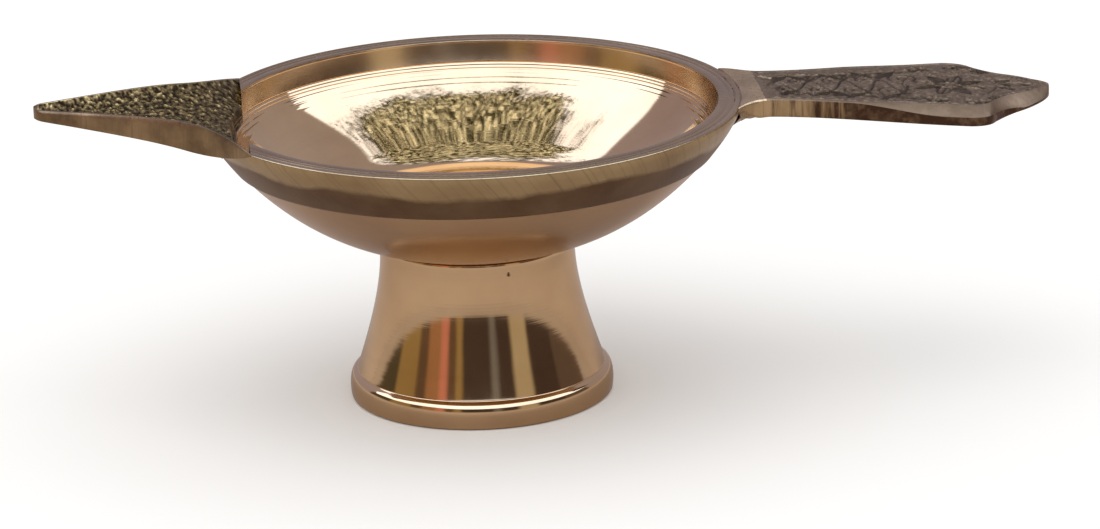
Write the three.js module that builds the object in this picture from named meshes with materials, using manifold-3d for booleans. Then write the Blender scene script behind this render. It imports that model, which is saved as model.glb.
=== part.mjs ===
// A brass oil lamp for prayer. A turned bowl carries a wick spout and a flat handle, both brazed
// to its rim, and screws onto a hollow foot with a double-ended stud.
//
// Millimetres, +Z up. The lamp is laid out with the turning axis of its bowl and foot at x = 0,
// y = 0 and the table at z = 0: the spout points along -X and the handle along +X. At the end
// the whole lamp moves along X, so that the origin is the centre of its length on the table.

import * as THREE from 'three';
import { mergeVertices } from 'three/addons/utils/BufferGeometryUtils.js';
import Module from 'manifold-3d';

// ---- Driving dimensions -----------------------------------------------------------------

const clearance = 0.3; // between pieces that touch, are brazed or run in each other

// Bowl
const bowlRadius = 42; // outer edge of the rim
const rimHeight = 46.9; // top face of the rim above the table
const rimFaceWidth = 3.7; // flat top face of the rim
const rimBandHeight = 7.6; // thick band around the outside of the rim
const rimBandInset = 4.3; // how much smaller the band is at its lower edge
const rimEdgeBreak = 0.5; // rounded top outer edge
const bandStep = 0.6; // small step from the band to the underside
const bowlWall = 3.2; // halfway up the dish
const bowlFloor = 6.1; // thickness at the centre, where the stud screws in

// Foot
const seamHeight = 24.9; // joint between bowl and foot
const seamRadius = 15.4;
const footRadius = 20.9; // widest part of the base band
const baseBandHeight = 3.6;
const grooveWidth = 1.0; // turned groove above the base band
const grooveDepth = 1.5;
const footWall = 3.3; // at the base
const footWebThickness = 8.2; // solid neck that holds the thread

// Stud
const studRadius = 4.7;
const studEngagement = 4.6; // length screwed into the bowl
const studChamfer = 0.8;

// Wick spout
const spoutLength = 25.9; // beyond the rim
const mouthInset = 6.6; // where the spout opens into the bowl, inside the rim's outer edge
const throatLength = 3; // end of the straight sides, beyond the rim
const throatHalfWidth = 11.9;
const tipHalfWidth = 2;
const spoutRise = 3.2; // tip above the rim
const mouthDepth = 3.4; // channel below the ridges, at the mouth
const tipDepth = 0.8; // channel below the ridges, at the tip
const ridgeWidth = 0.7; // at each side of the channel
const spoutWall = 1.7; // under the middle of the channel
const tipEdge = 1.5; // thickness of the spout at the tip
const mouthEdge = 5.6; // thickness of the spout at the mouth
const flareThinning = 0.7; // how much of that is left to the rim at the ends of the mouth

// Handle
const handleLength = 49.1; // beyond the rim
const headLength = 34.2; // widest place of the head, beyond the rim
const handleRise = 0.5; // top of the handle above the rim, at its root
const handleThickness = 3;
const handleDroop = 3.1; // degrees below level
const stemHalfWidth = 8.6;
const headHalfWidth = 14.7;
const rootFlare = 3.6; // each side widens by this much where it meets the rim
const tenonDepth = 2; // tongue let into the side of the rim
const tenonHalfWidth = 5;
const tenonThickness = 1.6;

// Brazed fillets under the spout and the handle
const filletReach = 4.6; // out from the rim
const filletShare = 0.85; // of the width of what it holds

// Fineness
const bowlSegments = 64;
const footSegments = 48;
const studSegments = 32;
const curveSteps = 7;
const spoutStations = 10;
const sectionSteps = 8;

// ---- Finishes ---------------------------------------------------------------------------

const brass = (color, roughness) => new THREE.MeshStandardMaterial({ color, roughness, metalness: 1 });
const turnedBrass = brass(0xb08a4e, 0.18);
const castBrass = brass(0x9a7a42, 0.4);
const antiqueBrass = brass(0x6e5a3c, 0.5);
const brazeMetal = brass(0xb49a72, 0.3);

// ---- Solids -----------------------------------------------------------------------------

const wasm = await Module();
wasm.setup();

function toSolid(geometry) {
  const bare = geometry.clone();
  bare.deleteAttribute('normal');
  bare.deleteAttribute('uv');
  const merged = mergeVertices(bare);
  const triangles = [];
  const index = merged.index.array;
  for (let i = 0; i < index.length; i += 3) {
    const [a, b, c] = [index[i], index[i + 1], index[i + 2]];
    if (a !== b && b !== c && c !== a) triangles.push(a, b, c);
  }
  return new wasm.Manifold(new wasm.Mesh({
    numProp: 3,
    vertProperties: new Float32Array(merged.attributes.position.array),
    triVerts: new Uint32Array(triangles),
  }));
}

function toMesh(name, solid, material) {
  const { vertProperties, triVerts } = solid.getMesh();
  const geometry = new THREE.BufferGeometry();
  geometry.setAttribute('position', new THREE.BufferAttribute(vertProperties, 3));
  geometry.setIndex(new THREE.BufferAttribute(triVerts, 1));
  geometry.computeVertexNormals();
  const mesh = new THREE.Mesh(geometry, material);
  mesh.name = name;
  return mesh;
}

// A solid of revolution about Z, from a profile of [radius, height] points that runs from the
// bottom outwards and up.
function turned(profile, segments) {
  const points = profile.map(([radius, height]) => new THREE.Vector2(radius, height));
  return toSolid(new THREE.LatheGeometry(points, segments).rotateX(Math.PI / 2));
}

function bezier(start, startHandle, endHandle, end, steps = curveSteps) {
  const corners = [start, startHandle, endHandle, end].map(([x, y]) => new THREE.Vector2(x, y));
  return new THREE.CubicBezierCurve(...corners).getPoints(steps).map((p) => [p.x, p.y]);
}

function box(low, high) {
  const size = low.map((value, i) => high[i] - value);
  const geometry = new THREE.BoxGeometry(...size);
  return toSolid(geometry.translate(...low.map((value, i) => value + size[i] / 2)));
}

// ---- Bowl -------------------------------------------------------------------------------

const bowlBottom = seamHeight + clearance / 2;
const bandBottom = rimHeight - rimBandHeight;
const bandBottomRadius = bowlRadius - rimBandInset;
const floorHeight = bowlBottom + bowlFloor;
const dishRadius = bowlRadius - rimFaceWidth;
const studTop = bowlBottom + studEngagement;
const boreRadius = studRadius + clearance;

// Curve of the underside, from the seam out to the step under the rim band.
function undersideCorners() {
  const start = [seamRadius, bowlBottom + 0.6];
  const end = [bandBottomRadius - bandStep, bandBottom - bandStep / 3];
  const run = end[0] - start[0];
  const rise = end[1] - start[1];
  const startHandle = [start[0] + 0.41 * run, start[1] + 0.16 * rise];
  const endHandle = [end[0] - 0.27 * run, end[1] - 0.48 * rise];
  return [start, startHandle, endHandle, end];
}

const undersideProfile = () => [[seamRadius, bowlBottom], ...bezier(...undersideCorners())];

// Outside of the rim band, from its lower edge to the top face.
function bandProfile() {
  const start = [bandBottomRadius, bandBottom];
  const end = [bowlRadius, rimHeight - 2.4 * rimEdgeBreak];
  const height = end[1] - start[1];
  const startHandle = [start[0] + 0.4 * rimBandInset, start[1] + 0.33 * height];
  const endHandle = [bowlRadius - 0.24 * rimBandInset, start[1] + 0.64 * height];
  return [
    ...bezier(start, startHandle, endHandle, end, 5),
    [bowlRadius, rimHeight - rimEdgeBreak],
    [bowlRadius - rimEdgeBreak, rimHeight],
  ];
}

// Inside of the dish, from the rim's inner edge to the middle of the floor. Halfway down it runs
// along the underside, one wall thickness above it.
function dishProfile() {
  const corners = undersideCorners().map(([x, y]) => new THREE.Vector2(x, y));
  const underside = new THREE.CubicBezierCurve(...corners);
  const [along, point] = [underside.getTangent(0.5), underside.getPoint(0.5)];
  const middle = [point.x - bowlWall * along.y, point.y + bowlWall * along.x];
  const climb = rimHeight - middle[1];
  const outward = 0.52 * climb;
  const inward = 0.3 * middle[0];
  return [
    ...bezier([dishRadius, rimHeight], [dishRadius - 0.3, rimHeight - 0.41 * climb],
      [middle[0] + outward * along.x, middle[1] + outward * along.y], middle, 6),
    ...bezier(middle, [middle[0] - inward * along.x, middle[1] - inward * along.y],
      [0.35 * middle[0], floorHeight], [0, floorHeight], 5).slice(1),
  ];
}

function bowlBlank() {
  return turned([
    [0, studTop + clearance],
    [boreRadius, studTop + clearance],
    [boreRadius, bowlBottom],
    ...undersideProfile(),
    ...bandProfile(),
    ...dishProfile(),
  ], bowlSegments);
}

// The outside of the bowl filled in, grown by a gap and carried straight up from its rim, to cut
// what is brazed against it.
function bowlEnvelope(gap) {
  const outside = [...undersideProfile(), ...bandProfile().slice(0, -1)];
  const top = rimHeight + handleRise + handleThickness;
  return turned([
    [0, bowlBottom - gap],
    ...outside.map(([radius, height]) => [radius + gap, height - gap / 2]),
    [bowlRadius + gap, top],
    [0, top],
  ], bowlSegments);
}

// The space inside the dish, open upwards.
function dishSpace() {
  const top = rimHeight + 4 * spoutRise;
  return turned([...dishProfile().reverse(), [dishRadius, top], [0, top]], bowlSegments);
}

// ---- Wick spout -------------------------------------------------------------------------

const spoutReach = bowlRadius + spoutLength;
const throatReach = bowlRadius + throatLength;
const mouthReach = bowlRadius - mouthInset;
const mouthHalfWidth = Math.sqrt(bowlRadius ** 2 - mouthReach ** 2);

// Half of the spout's outline, as [distance from the turning axis, half width], mouth to tip.
function spoutOutline() {
  const slope = (throatHalfWidth - tipHalfWidth) / (spoutReach - throatReach);
  const flare = (throatReach - mouthReach) / 2.6;
  const mouth = [mouthReach, mouthHalfWidth];
  const mouthHandle = [
    mouthReach + (1.7 * flare * mouthHalfWidth) / bowlRadius,
    mouthHalfWidth - (1.7 * flare * mouthReach) / bowlRadius,
  ];
  const throatHandle = [throatReach - flare, throatHalfWidth + flare * slope];
  const outline = bezier(mouth, mouthHandle, throatHandle, [throatReach, throatHalfWidth], 6);
  for (let i = 1; i <= spoutStations; i += 1) {
    const reach = THREE.MathUtils.lerp(throatReach, spoutReach, i / spoutStations);
    outline.push([reach, throatHalfWidth - slope * (reach - throatReach)]);
  }
  return outline;
}

// How the spout changes from its mouth (0) to its tip (1).
function spoutLevels(reach) {
  const share = (reach - mouthReach) / (spoutReach - mouthReach);
  const ridge = rimHeight + spoutRise * (1 - (1 - share) ** 5);
  const depth = mouthDepth * (1 - share) ** 0.6 + tipDepth * share;
  const thickness = THREE.MathUtils.lerp(mouthEdge, tipEdge, share);
  const flare = Math.max(0, (throatReach - reach) / (throatReach - mouthReach));
  const edge = thickness * (1 - flareThinning * flare ** 2);
  return { ridge, depth, edge, keel: Math.max(depth + spoutWall * (1 - share / 2), thickness) };
}

// One cross-section as [y, z] points, anticlockwise seen from the tip's side.
function spoutSection(halfWidth, { ridge, depth, edge, keel }, channelled) {
  const points = [];
  for (let i = 0; i <= sectionSteps; i += 1) {
    const side = 1 - (2 * i) / sectionSteps;
    points.push([side * halfWidth, ridge - edge - (keel - edge) * (1 - side ** 2)]);
  }
  points.push([-halfWidth, ridge]);
  const channel = halfWidth - Math.min(ridgeWidth, halfWidth * 0.45);
  for (let i = 0; i <= sectionSteps; i += 1) {
    const side = (2 * i) / sectionSteps - 1;
    points.push([side * channel, channelled ? ridge - depth * (1 - side ** 2) : ridge]);
  }
  points.push([halfWidth, ridge]);
  return points;
}

// A closed skin through cross-sections that all have the same number of points.
function loft(sections) {
  const count = sections[0].length;
  const positions = sections.flat(2);
  const index = [];
  for (let s = 0; s < sections.length - 1; s += 1) {
    for (let i = 0; i < count; i += 1) {
      const a = s * count + i;
      const b = s * count + ((i + 1) % count);
      index.push(a, b, a + count, b, b + count, a + count);
    }
  }
  const flat = (section) => section.map(([, y, z]) => new THREE.Vector2(y, z));
  const last = (sections.length - 1) * count;
  for (const [a, b, c] of THREE.ShapeUtils.triangulateShape(flat(sections[0]), [])) {
    index.push(a, b, c);
  }
  for (const [a, b, c] of THREE.ShapeUtils.triangulateShape(flat(sections.at(-1)), [])) {
    index.push(last + a, last + c, last + b);
  }
  const geometry = new THREE.BufferGeometry();
  geometry.setAttribute('position', new THREE.Float32BufferAttribute(positions, 3));
  geometry.setIndex(index);
  return toSolid(geometry);
}

// The spout with its channel, or with a gap the plain filled space that it takes out of the rim.
function spoutBlank(gap = 0) {
  const outline = spoutOutline();
  const sections = outline.map(([reach, halfWidth]) => {
    const levels = spoutLevels(reach);
    if (gap > 0) {
      levels.edge += gap + 3 * spoutRise;
      levels.keel += gap + 3 * spoutRise;
      levels.ridge += 3 * spoutRise;
    }
    const section = spoutSection(halfWidth + gap, levels, gap === 0);
    return section.map(([y, z]) => [-reach, y, z]);
  });
  if (gap > 0) sections.unshift(sections[0].map(([x, y, z]) => [x + gap, y, z]));
  return loft(sections);
}

// ---- Handle -----------------------------------------------------------------------------

const handleReach = bowlRadius + handleLength;
const headReach = bowlRadius + headLength;
const rootX = Math.sqrt(bowlRadius ** 2 - (stemHalfWidth + rootFlare) ** 2);

// Half of the handle's outline, root to tip: a stem that widens to a pointed leaf-shaped head.
function handleOutline() {
  const neckX = bowlRadius + rootFlare;
  const nose = handleReach - headReach;
  const shoulder = [headReach + 0.28 * nose, 0.83 * headHalfWidth];
  const waist = [headReach + 0.59 * nose, 0.54 * headHalfWidth];
  const half = new THREE.Path();
  half.moveTo(rootX, stemHalfWidth + rootFlare);
  half.quadraticCurveTo(bowlRadius + 0.25 * rootFlare, stemHalfWidth, neckX, stemHalfWidth);
  half.bezierCurveTo(
    neckX + 0.32 * (headReach - neckX), stemHalfWidth,
    headReach - 0.36 * (headReach - neckX), 0.89 * headHalfWidth,
    headReach, headHalfWidth,
  );
  half.quadraticCurveTo(headReach + 0.2 * nose, headHalfWidth, ...shoulder);
  half.quadraticCurveTo(headReach + 0.42 * nose, 0.62 * headHalfWidth, ...waist);
  half.bezierCurveTo(
    headReach + 0.86 * nose, 0.46 * headHalfWidth,
    handleReach, 0.24 * headHalfWidth,
    handleReach, 0,
  );
  return half.getPoints(curveSteps);
}

// Where the handle's own level frame sits: its top face at the rim, tilted down.
function placeHandle(geometry) {
  geometry.translate(-bowlRadius, 0, -handleThickness);
  geometry.rotateY(THREE.MathUtils.degToRad(handleDroop));
  return geometry.translate(bowlRadius, 0, rimHeight + handleRise);
}

function handleBlank(gap = 0) {
  const half = handleOutline();
  const other = half.slice(0, -1).reverse().map((p) => new THREE.Vector2(p.x, -p.y));
  const inner = dishRadius - rimFaceWidth;
  const root = [new THREE.Vector2(inner, -half[0].y), new THREE.Vector2(inner, half[0].y)];
  const thickness = handleThickness + 2 * gap;
  const shape = new THREE.Shape([...root, ...half, ...other]);
  const plate = new THREE.ExtrudeGeometry(shape, { depth: thickness, bevelEnabled: false });
  return toSolid(placeHandle(plate.translate(0, 0, -gap)));
}

// The tongue that is let into the side of the rim, with a gap for the pocket that takes it.
function handleTenon(gap = 0) {
  const middle = rimHeight + handleRise - handleThickness / 2 - tenonThickness / 4;
  const half = tenonThickness / 2 + gap;
  return box(
    [bowlRadius - tenonDepth - gap, -tenonHalfWidth - gap, middle - half],
    [bowlRadius + 2 * clearance, tenonHalfWidth + gap, middle + half],
  );
}

// ---- Brazed fillets ---------------------------------------------------------------------

// A ring of braze metal between the rim band and the height where it meets the underside of
// the spout or handle, with a hollow lower face, cut to a sector that points along X.
function filletSector(halfWidth, meetingHeight, direction) {
  const inner = bandBottomRadius;
  const outer = bowlRadius + filletReach;
  const start = [inner + 0.4 * rimBandInset, bandBottom + 0.22 * rimBandHeight];
  const end = [outer, meetingHeight - clearance];
  const rise = end[1] - start[1];
  const top = meetingHeight + filletReach / 2;
  const ring = turned([
    [inner, start[1]],
    ...bezier(start, [start[0] + 1.6, start[1] + 0.42 * rise], [outer - 1.8, end[1] - 0.14 * rise], end),
    [outer, top],
    [inner, top],
    [inner, start[1]],
  ], bowlSegments);
  const near = direction * inner * Math.cos(Math.asin(halfWidth / outer)) * 0.9;
  const far = direction * 2 * outer;
  const sector = box([Math.min(near, far), -halfWidth, 0], [Math.max(near, far), halfWidth, 2 * rimHeight]);
  return ring.intersect(sector).subtract(bowlEnvelope(clearance));
}

function spoutFilletBlank() {
  const { ridge, keel } = spoutLevels(bowlRadius + filletReach);
  const sector = filletSector(filletShare * throatHalfWidth, ridge - keel, -1);
  return sector.subtract(spoutBlank(clearance));
}

function handleFilletBlank() {
  const drop = filletReach * Math.tan(THREE.MathUtils.degToRad(handleDroop));
  const meetingHeight = rimHeight + handleRise - handleThickness - drop;
  const sector = filletSector(filletShare * stemHalfWidth, meetingHeight, 1);
  return sector.subtract(handleBlank(clearance));
}

// ---- Foot and stud ----------------------------------------------------------------------

const footTop = seamHeight - clearance / 2;
const webBottom = footTop - footWebThickness;

function footBlank() {
  const grooveTop = baseBandHeight + grooveWidth;
  const waistRadius = footRadius - 0.93 * grooveDepth;
  const innerBase = footRadius - footWall;
  const innerTop = seamRadius - 0.9 * footWall;
  const neckHeight = footTop - grooveTop;
  return turned([
    [boreRadius, webBottom],
    [boreRadius, footTop],
    ...bezier([seamRadius, footTop], [seamRadius - 0.4, footTop - 0.32 * neckHeight],
      [waistRadius - 1.9, grooveTop + 0.28 * neckHeight], [waistRadius, grooveTop]),
    [footRadius - grooveDepth - 0.4, baseBandHeight + 0.5 * grooveWidth],
    [footRadius - 0.4, baseBandHeight],
    [footRadius, 0.55 * baseBandHeight],
    [footRadius - 0.15, 0],
    ...bezier([innerBase, 0], [innerBase - 1.2, 0.36 * webBottom],
      [innerTop + 0.8, 0.72 * webBottom], [innerTop, webBottom], 6),
    [boreRadius, webBottom],
  ].reverse(), footSegments);
}

function studBlank() {
  const bottom = webBottom + clearance;
  return turned([
    [0, bottom],
    [studRadius - studChamfer, bottom],
    [studRadius, bottom + studChamfer],
    [studRadius, studTop - studChamfer],
    [studRadius - studChamfer, studTop],
    [0, studTop],
  ], studSegments);
}

// ---- Assembly ---------------------------------------------------------------------------

const bowl = bowlBlank().subtract(spoutBlank(clearance)).subtract(handleTenon(clearance));
const spout = spoutBlank().subtract(dishSpace());
const handle = handleBlank().subtract(bowlEnvelope(clearance)).add(handleTenon());

const lamp = new THREE.Group();
lamp.add(toMesh('bowl', bowl, turnedBrass));
lamp.add(toMesh('wick_spout', spout, castBrass));
lamp.add(toMesh('handle', handle, antiqueBrass));
lamp.add(toMesh('spout_braze_fillet', spoutFilletBlank(), brazeMetal));
lamp.add(toMesh('handle_braze_fillet', handleFilletBlank(), brazeMetal));
lamp.add(toMesh('foot', footBlank(), turnedBrass));
lamp.add(toMesh('foot_stud', studBlank(), castBrass));
lamp.position.x = (spoutReach - handleReach) / 2;

export default lamp;
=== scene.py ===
# %% [markdown]
# # A brass oil lamp
#
# This lesson finishes a small brass prayer lamp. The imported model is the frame: it says where
# every piece is and how it moves. Here each plain piece gets a fine one in its place, with
# turned rings, engraving, stippling and a thread. Everything is in metres, and +Z is up. The
# spout points along -X and the handle along +X.

# %% Load the frame
import math

import bpy
from mathutils import Matrix, Vector, kdtree, noise


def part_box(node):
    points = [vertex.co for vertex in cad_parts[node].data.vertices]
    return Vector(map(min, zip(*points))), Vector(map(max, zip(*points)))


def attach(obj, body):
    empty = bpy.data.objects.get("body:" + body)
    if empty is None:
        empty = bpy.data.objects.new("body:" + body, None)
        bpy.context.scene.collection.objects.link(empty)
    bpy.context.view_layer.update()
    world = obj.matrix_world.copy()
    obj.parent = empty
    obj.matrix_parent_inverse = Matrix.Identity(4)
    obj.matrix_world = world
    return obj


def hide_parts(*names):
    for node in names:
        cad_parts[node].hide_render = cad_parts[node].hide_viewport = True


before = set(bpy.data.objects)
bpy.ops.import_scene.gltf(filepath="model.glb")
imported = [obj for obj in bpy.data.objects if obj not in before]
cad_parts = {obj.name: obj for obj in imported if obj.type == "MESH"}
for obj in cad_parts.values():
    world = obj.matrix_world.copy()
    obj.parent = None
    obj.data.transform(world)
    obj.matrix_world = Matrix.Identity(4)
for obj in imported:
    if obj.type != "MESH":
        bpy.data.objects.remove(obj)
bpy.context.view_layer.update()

MM = 0.001

# %% [markdown]
# ## The sizes that everything follows
#
# A turner works from the axis of the lathe, so the lamp's turning axis comes first. It isn't at
# the origin: the frame's origin is the middle of the whole length. The overall sizes are read
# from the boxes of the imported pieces, in millimetres from that axis. The sizes of small
# features, which no box shows, are named values.

# %% Sizes from the frame
foot_low, foot_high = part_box("foot")
bowl_low, bowl_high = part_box("bowl")
spout_low, spout_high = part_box("wick_spout")
handle_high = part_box("handle")[1]
stud_low, stud_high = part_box("foot_stud")
AXIS_X = (foot_low[0] + foot_high[0]) / 2
BOWL_R = bowl_high[1] / MM
RIM_Z = bowl_high[2] / MM
BOWL_Z = bowl_low[2] / MM
FOOT_R = foot_high[1] / MM
FOOT_Z = foot_high[2] / MM
SPOUT_X = (AXIS_X - spout_low[0]) / MM
SPOUT_Z = spout_high[2] / MM
HANDLE_X = (handle_high[0] - AXIS_X) / MM
HEAD_W = handle_high[1] / MM
STUD_LOW, STUD_HIGH = stud_low[2] / MM, stud_high[2] / MM
print(f"bowl radius {BOWL_R:.1f}, rim {RIM_Z:.1f}, spout {SPOUT_X:.1f}, handle {HANDLE_X:.1f} mm")

# %% Sizes of the small features, in millimetres
RIM_FACE = 3.7  # width of the flat top of the rim
BAND = 7.6  # height of the thick band under it
BAND_INSET = 4.3  # how much smaller the band is at its lower edge
WALL = 3.2  # halfway up the dish
FLOOR_Z = BOWL_Z + 6.1  # inside of the dish, at its middle
SEAM_R = 15.4  # where the bowl meets the foot
BASE_BAND = 3.6  # height of the band the foot stands on
MOUTH = BOWL_R - 6.6  # where the spout opens into the dish
THROAT = BOWL_R + 3  # where the spout's straight sides begin
THROAT_W = 11.9  # half its width there
TIP_W = 2  # half its width at the tip
HANDLE_T = 3
HANDLE_RISE = 0.5  # of the handle's top above the rim
STEM_W = 8.6  # half the width of its stem
ROOT_FLARE = 3.6  # how much each side widens at the rim
HEAD = BOWL_R + 34.2  # the widest place of its head
DROOP = math.tan(math.radians(3.1))
BORE_R = 5  # threaded hole in bowl and foot
PITCH = 1.5  # of the thread
print(f"band {BAND} mm high, dish {RIM_Z - FLOOR_Z:.1f} mm deep, handle's head at {HEAD:.1f} mm")

# %% [markdown]
# ## The camera
#
# The lamp is seen from a little above its rim, from slightly to the left, through a long lens,
# which keeps the ellipse of the rim even. The camera is built from its own three directions,
# which makes its slight lean easy to set.

# %% Camera
AZIMUTH, ELEVATION, LEAN = math.radians(-5.09), math.radians(17.32), math.radians(-1.87)
DISTANCE, AIM_RIGHT, AIM_UP, AIM_Z = 0.785, 0.01147, -0.00431, 0.025
SENSOR, LENS, NEAREST = 36, 163.6, 0.01
back = Vector((math.sin(AZIMUTH) * math.cos(ELEVATION),
               -math.cos(AZIMUTH) * math.cos(ELEVATION), math.sin(ELEVATION)))
level = Vector((math.cos(AZIMUTH), math.sin(AZIMUTH), 0))
rise = back.cross(level)
right = level * math.cos(LEAN) + rise * math.sin(LEAN)
up = rise * math.cos(LEAN) - level * math.sin(LEAN)
place = Vector((AXIS_X, 0, AIM_Z)) + back * DISTANCE + right * AIM_RIGHT + up * AIM_UP
bpy.ops.object.camera_add()
camera = bpy.context.object
camera.name = "camera"
camera.matrix_world = Matrix.Translation(place) @ Matrix((right, up, back)).transposed().to_4x4()
camera.data.sensor_width = SENSOR
camera.data.lens = LENS
camera.data.clip_start = NEAREST
bpy.context.scene.camera = camera
print("camera at", tuple(round(v, 3) for v in place))

# %% [markdown]
# ## Helpers for making shapes
#
# Three ways of making a piece cover the whole lamp.
#
# *Turned* pieces are made as on a lathe: one vertex is extruded along half of the outline, and
# the outline is spun round the axis.
#
# *Skinned* pieces, such as the spout, change their section along their length. A grid is
# rolled into a tube, its seam is merged and its two ends are filled. This was chosen over a
# subdivided cube because the stippled and engraved faces need a fine, even mesh.
#
# *Cut* pieces have another shape taken out of them by a Boolean modifier, which is applied.

# %% Curves and outlines
def bezier(start, first, second, end, steps=24):
    points = []
    for i in range(steps + 1):
        t = i / steps
        weights = ((1 - t) ** 3, 3 * t * (1 - t) ** 2, 3 * t * t * (1 - t), t ** 3)
        corners = (start, first, second, end)
        points.append(tuple(sum(w * c[k] for w, c in zip(weights, corners)) for k in (0, 1)))
    return points


def quadratic(start, middle, end, steps=12):
    first = tuple(s + 2 / 3 * (m - s) for s, m in zip(start, middle))
    second = tuple(e + 2 / 3 * (m - e) for e, m in zip(end, middle))
    return bezier(start, first, second, end, steps)


def lerp(a, b, t):
    return a + (b - a) * t


def smooth(low, high, value):
    t = min(1, max(0, (value - low) / (high - low)))
    return t * t * (3 - 2 * t)


def interpolate(value, points):
    """Height of a polyline of (x, y) points with rising x, at x = value."""
    if value <= points[0][0]:
        return points[0][1]
    for (x0, y0), (x1, y1) in zip(points, points[1:]):
        if value <= x1:
            return lerp(y0, y1, (value - x0) / max(x1 - x0, 1e-9))
    return points[-1][1]


# %% Turned, skinned and cut pieces
MERGE = 0.002 * MM  # doubles closer than this become one
SHARP = 35  # degrees: a sharper edge stays sharp when it is shaded
SPIN_STEPS = 160


def start_primitive(name, add, **settings):
    bpy.ops.object.select_all(action="DESELECT")
    add(**settings)
    piece = bpy.context.object
    piece.name = piece.data.name = name
    return piece


def close_up(piece, angle=SHARP):
    """Merge doubles, face outwards and smooth all but the sharp edges."""
    bpy.ops.object.mode_set(mode="EDIT")
    bpy.ops.mesh.select_all(action="SELECT")
    bpy.ops.mesh.remove_doubles(threshold=MERGE)
    bpy.ops.mesh.normals_make_consistent(inside=False)
    bpy.ops.object.mode_set(mode="OBJECT")
    bpy.ops.object.shade_smooth_by_angle(angle=math.radians(angle))
    return piece


def turned(name, outline):
    """Spin an outline of (radius, height) points, in millimetres, round the lamp's axis."""
    piece = start_primitive(name, bpy.ops.mesh.primitive_plane_add, size=MM)
    bpy.ops.object.mode_set(mode="EDIT")
    bpy.ops.mesh.merge(type="CENTER")
    (radius, height), rest = outline[0], outline[1:]
    bpy.ops.transform.translate(value=(radius * MM, 0, height * MM))
    for next_radius, next_height in rest:
        step = ((next_radius - radius) * MM, 0, (next_height - height) * MM)
        bpy.ops.mesh.extrude_vertices_move(TRANSFORM_OT_translate={"value": step})
        radius, height = next_radius, next_height
    bpy.ops.mesh.select_all(action="SELECT")
    bpy.ops.mesh.spin(steps=SPIN_STEPS, angle=2 * math.pi, center=(0, 0, 0), axis=(0, 0, 1))
    bpy.ops.mesh.select_all(action="SELECT")
    bpy.ops.transform.translate(value=(AXIS_X, 0, 0))
    bpy.ops.object.mode_set(mode="OBJECT")
    return close_up(piece)


def skinned(name, rings, angle=SHARP):
    """Roll a grid through rings of (x, y, z) points, in millimetres from the axis."""
    columns, rows = len(rings[0]), len(rings) - 1
    piece = start_primitive(name, bpy.ops.mesh.primitive_grid_add,
                            x_subdivisions=columns, y_subdivisions=rows, size=1)
    for vertex in piece.data.vertices:
        column = round((vertex.co.x + 0.5) * columns) % columns
        x, y, z = rings[round((vertex.co.y + 0.5) * rows)][column]
        vertex.co = (AXIS_X + x * MM, y * MM, z * MM)
    bpy.ops.object.mode_set(mode="EDIT")
    bpy.ops.mesh.select_all(action="SELECT")
    bpy.ops.mesh.remove_doubles(threshold=MERGE)
    bpy.ops.mesh.fill_holes(sides=0)
    bpy.ops.object.mode_set(mode="OBJECT")
    return close_up(piece, angle)


def cut(piece, cutter):
    """Take the cutter's shape out of the piece and delete the cutter."""
    bpy.context.view_layer.objects.active = piece
    boolean = piece.modifiers.new("cut", "BOOLEAN")
    boolean.operation, boolean.solver, boolean.object = "DIFFERENCE", "EXACT", cutter
    bpy.ops.object.modifier_apply(modifier=boolean.name)
    bpy.data.objects.remove(cutter)
    piece.select_set(True)
    bpy.ops.object.shade_smooth_by_angle(angle=math.radians(SHARP))
    return piece


def finish_piece(piece, body, node, slot, *materials):
    """Put the piece on its body and in its node's place, and give it its finish."""
    piece.data.materials.clear()
    for material in materials:
        piece.data.materials.append(material)
    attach(piece, body)
    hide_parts(node)
    print(f"{piece.name}: {len(piece.data.polygons)} faces, rides on {body}")


# %% [markdown]
# ## Brass
#
# All of the lamp is brass, but no two surfaces have the same finish. The dish and the foot are
# polished, the rim band is rough from the tool, the spout is left as it came from the sand, and
# the engraved handle is darkened. One helper makes the metal, and each finish adds its own marks
# to it. Patterns read Object coordinates, moved to the lathe's axis, so that rings run round the
# lamp. Image textures were not used: nodes stay sharp however close the lamp is seen.

# %% Node helpers
def add_node(tree, kind, inputs=None, **settings):
    node = tree.nodes.new(kind)
    for key, value in settings.items():
        setattr(node, key, value)
    for key, value in (inputs or {}).items():
        if isinstance(value, bpy.types.NodeSocket):
            tree.links.new(value, node.inputs[key])
        else:
            node.inputs[key].default_value = value
    return node


def maths(tree, operation, first, second=0.0, clamp=False):
    inputs = {0: first, 1: second}
    settings = {"operation": operation, "use_clamp": clamp}
    return add_node(tree, "ShaderNodeMath", inputs, **settings).outputs[0]


def scale_add(tree, value, factor, offset):
    """value * factor + offset"""
    return maths(tree, "ADD", maths(tree, "MULTIPLY", value, factor), offset)


def ramp(tree, value, stops):
    """A colour ramp from (position, grey or colour) stops."""
    node = add_node(tree, "ShaderNodeValToRGB", {"Fac": value})
    elements = node.color_ramp.elements
    while len(elements) < len(stops):
        elements.new(0.5)
    for element, (position, colour) in zip(elements, stops):
        element.position = position
        tone = (colour,) * 3 if isinstance(colour, (int, float)) else colour
        element.color = (*tone, 1)
    return node.outputs["Color"]


def mix(tree, factor, first, second):
    first, second = ((*c, 1) if isinstance(c, tuple) else c for c in (first, second))
    inputs = {0: factor, 6: first, 7: second}
    return add_node(tree, "ShaderNodeMix", inputs, data_type="RGBA").outputs[2]


def fade(tree, pattern, low, high, first, second, most=1):
    """From the first colour to the second, while the pattern rises from low to high."""
    return mix(tree, ramp(tree, pattern, ((low, 0), (high, most))), first, second)


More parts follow.
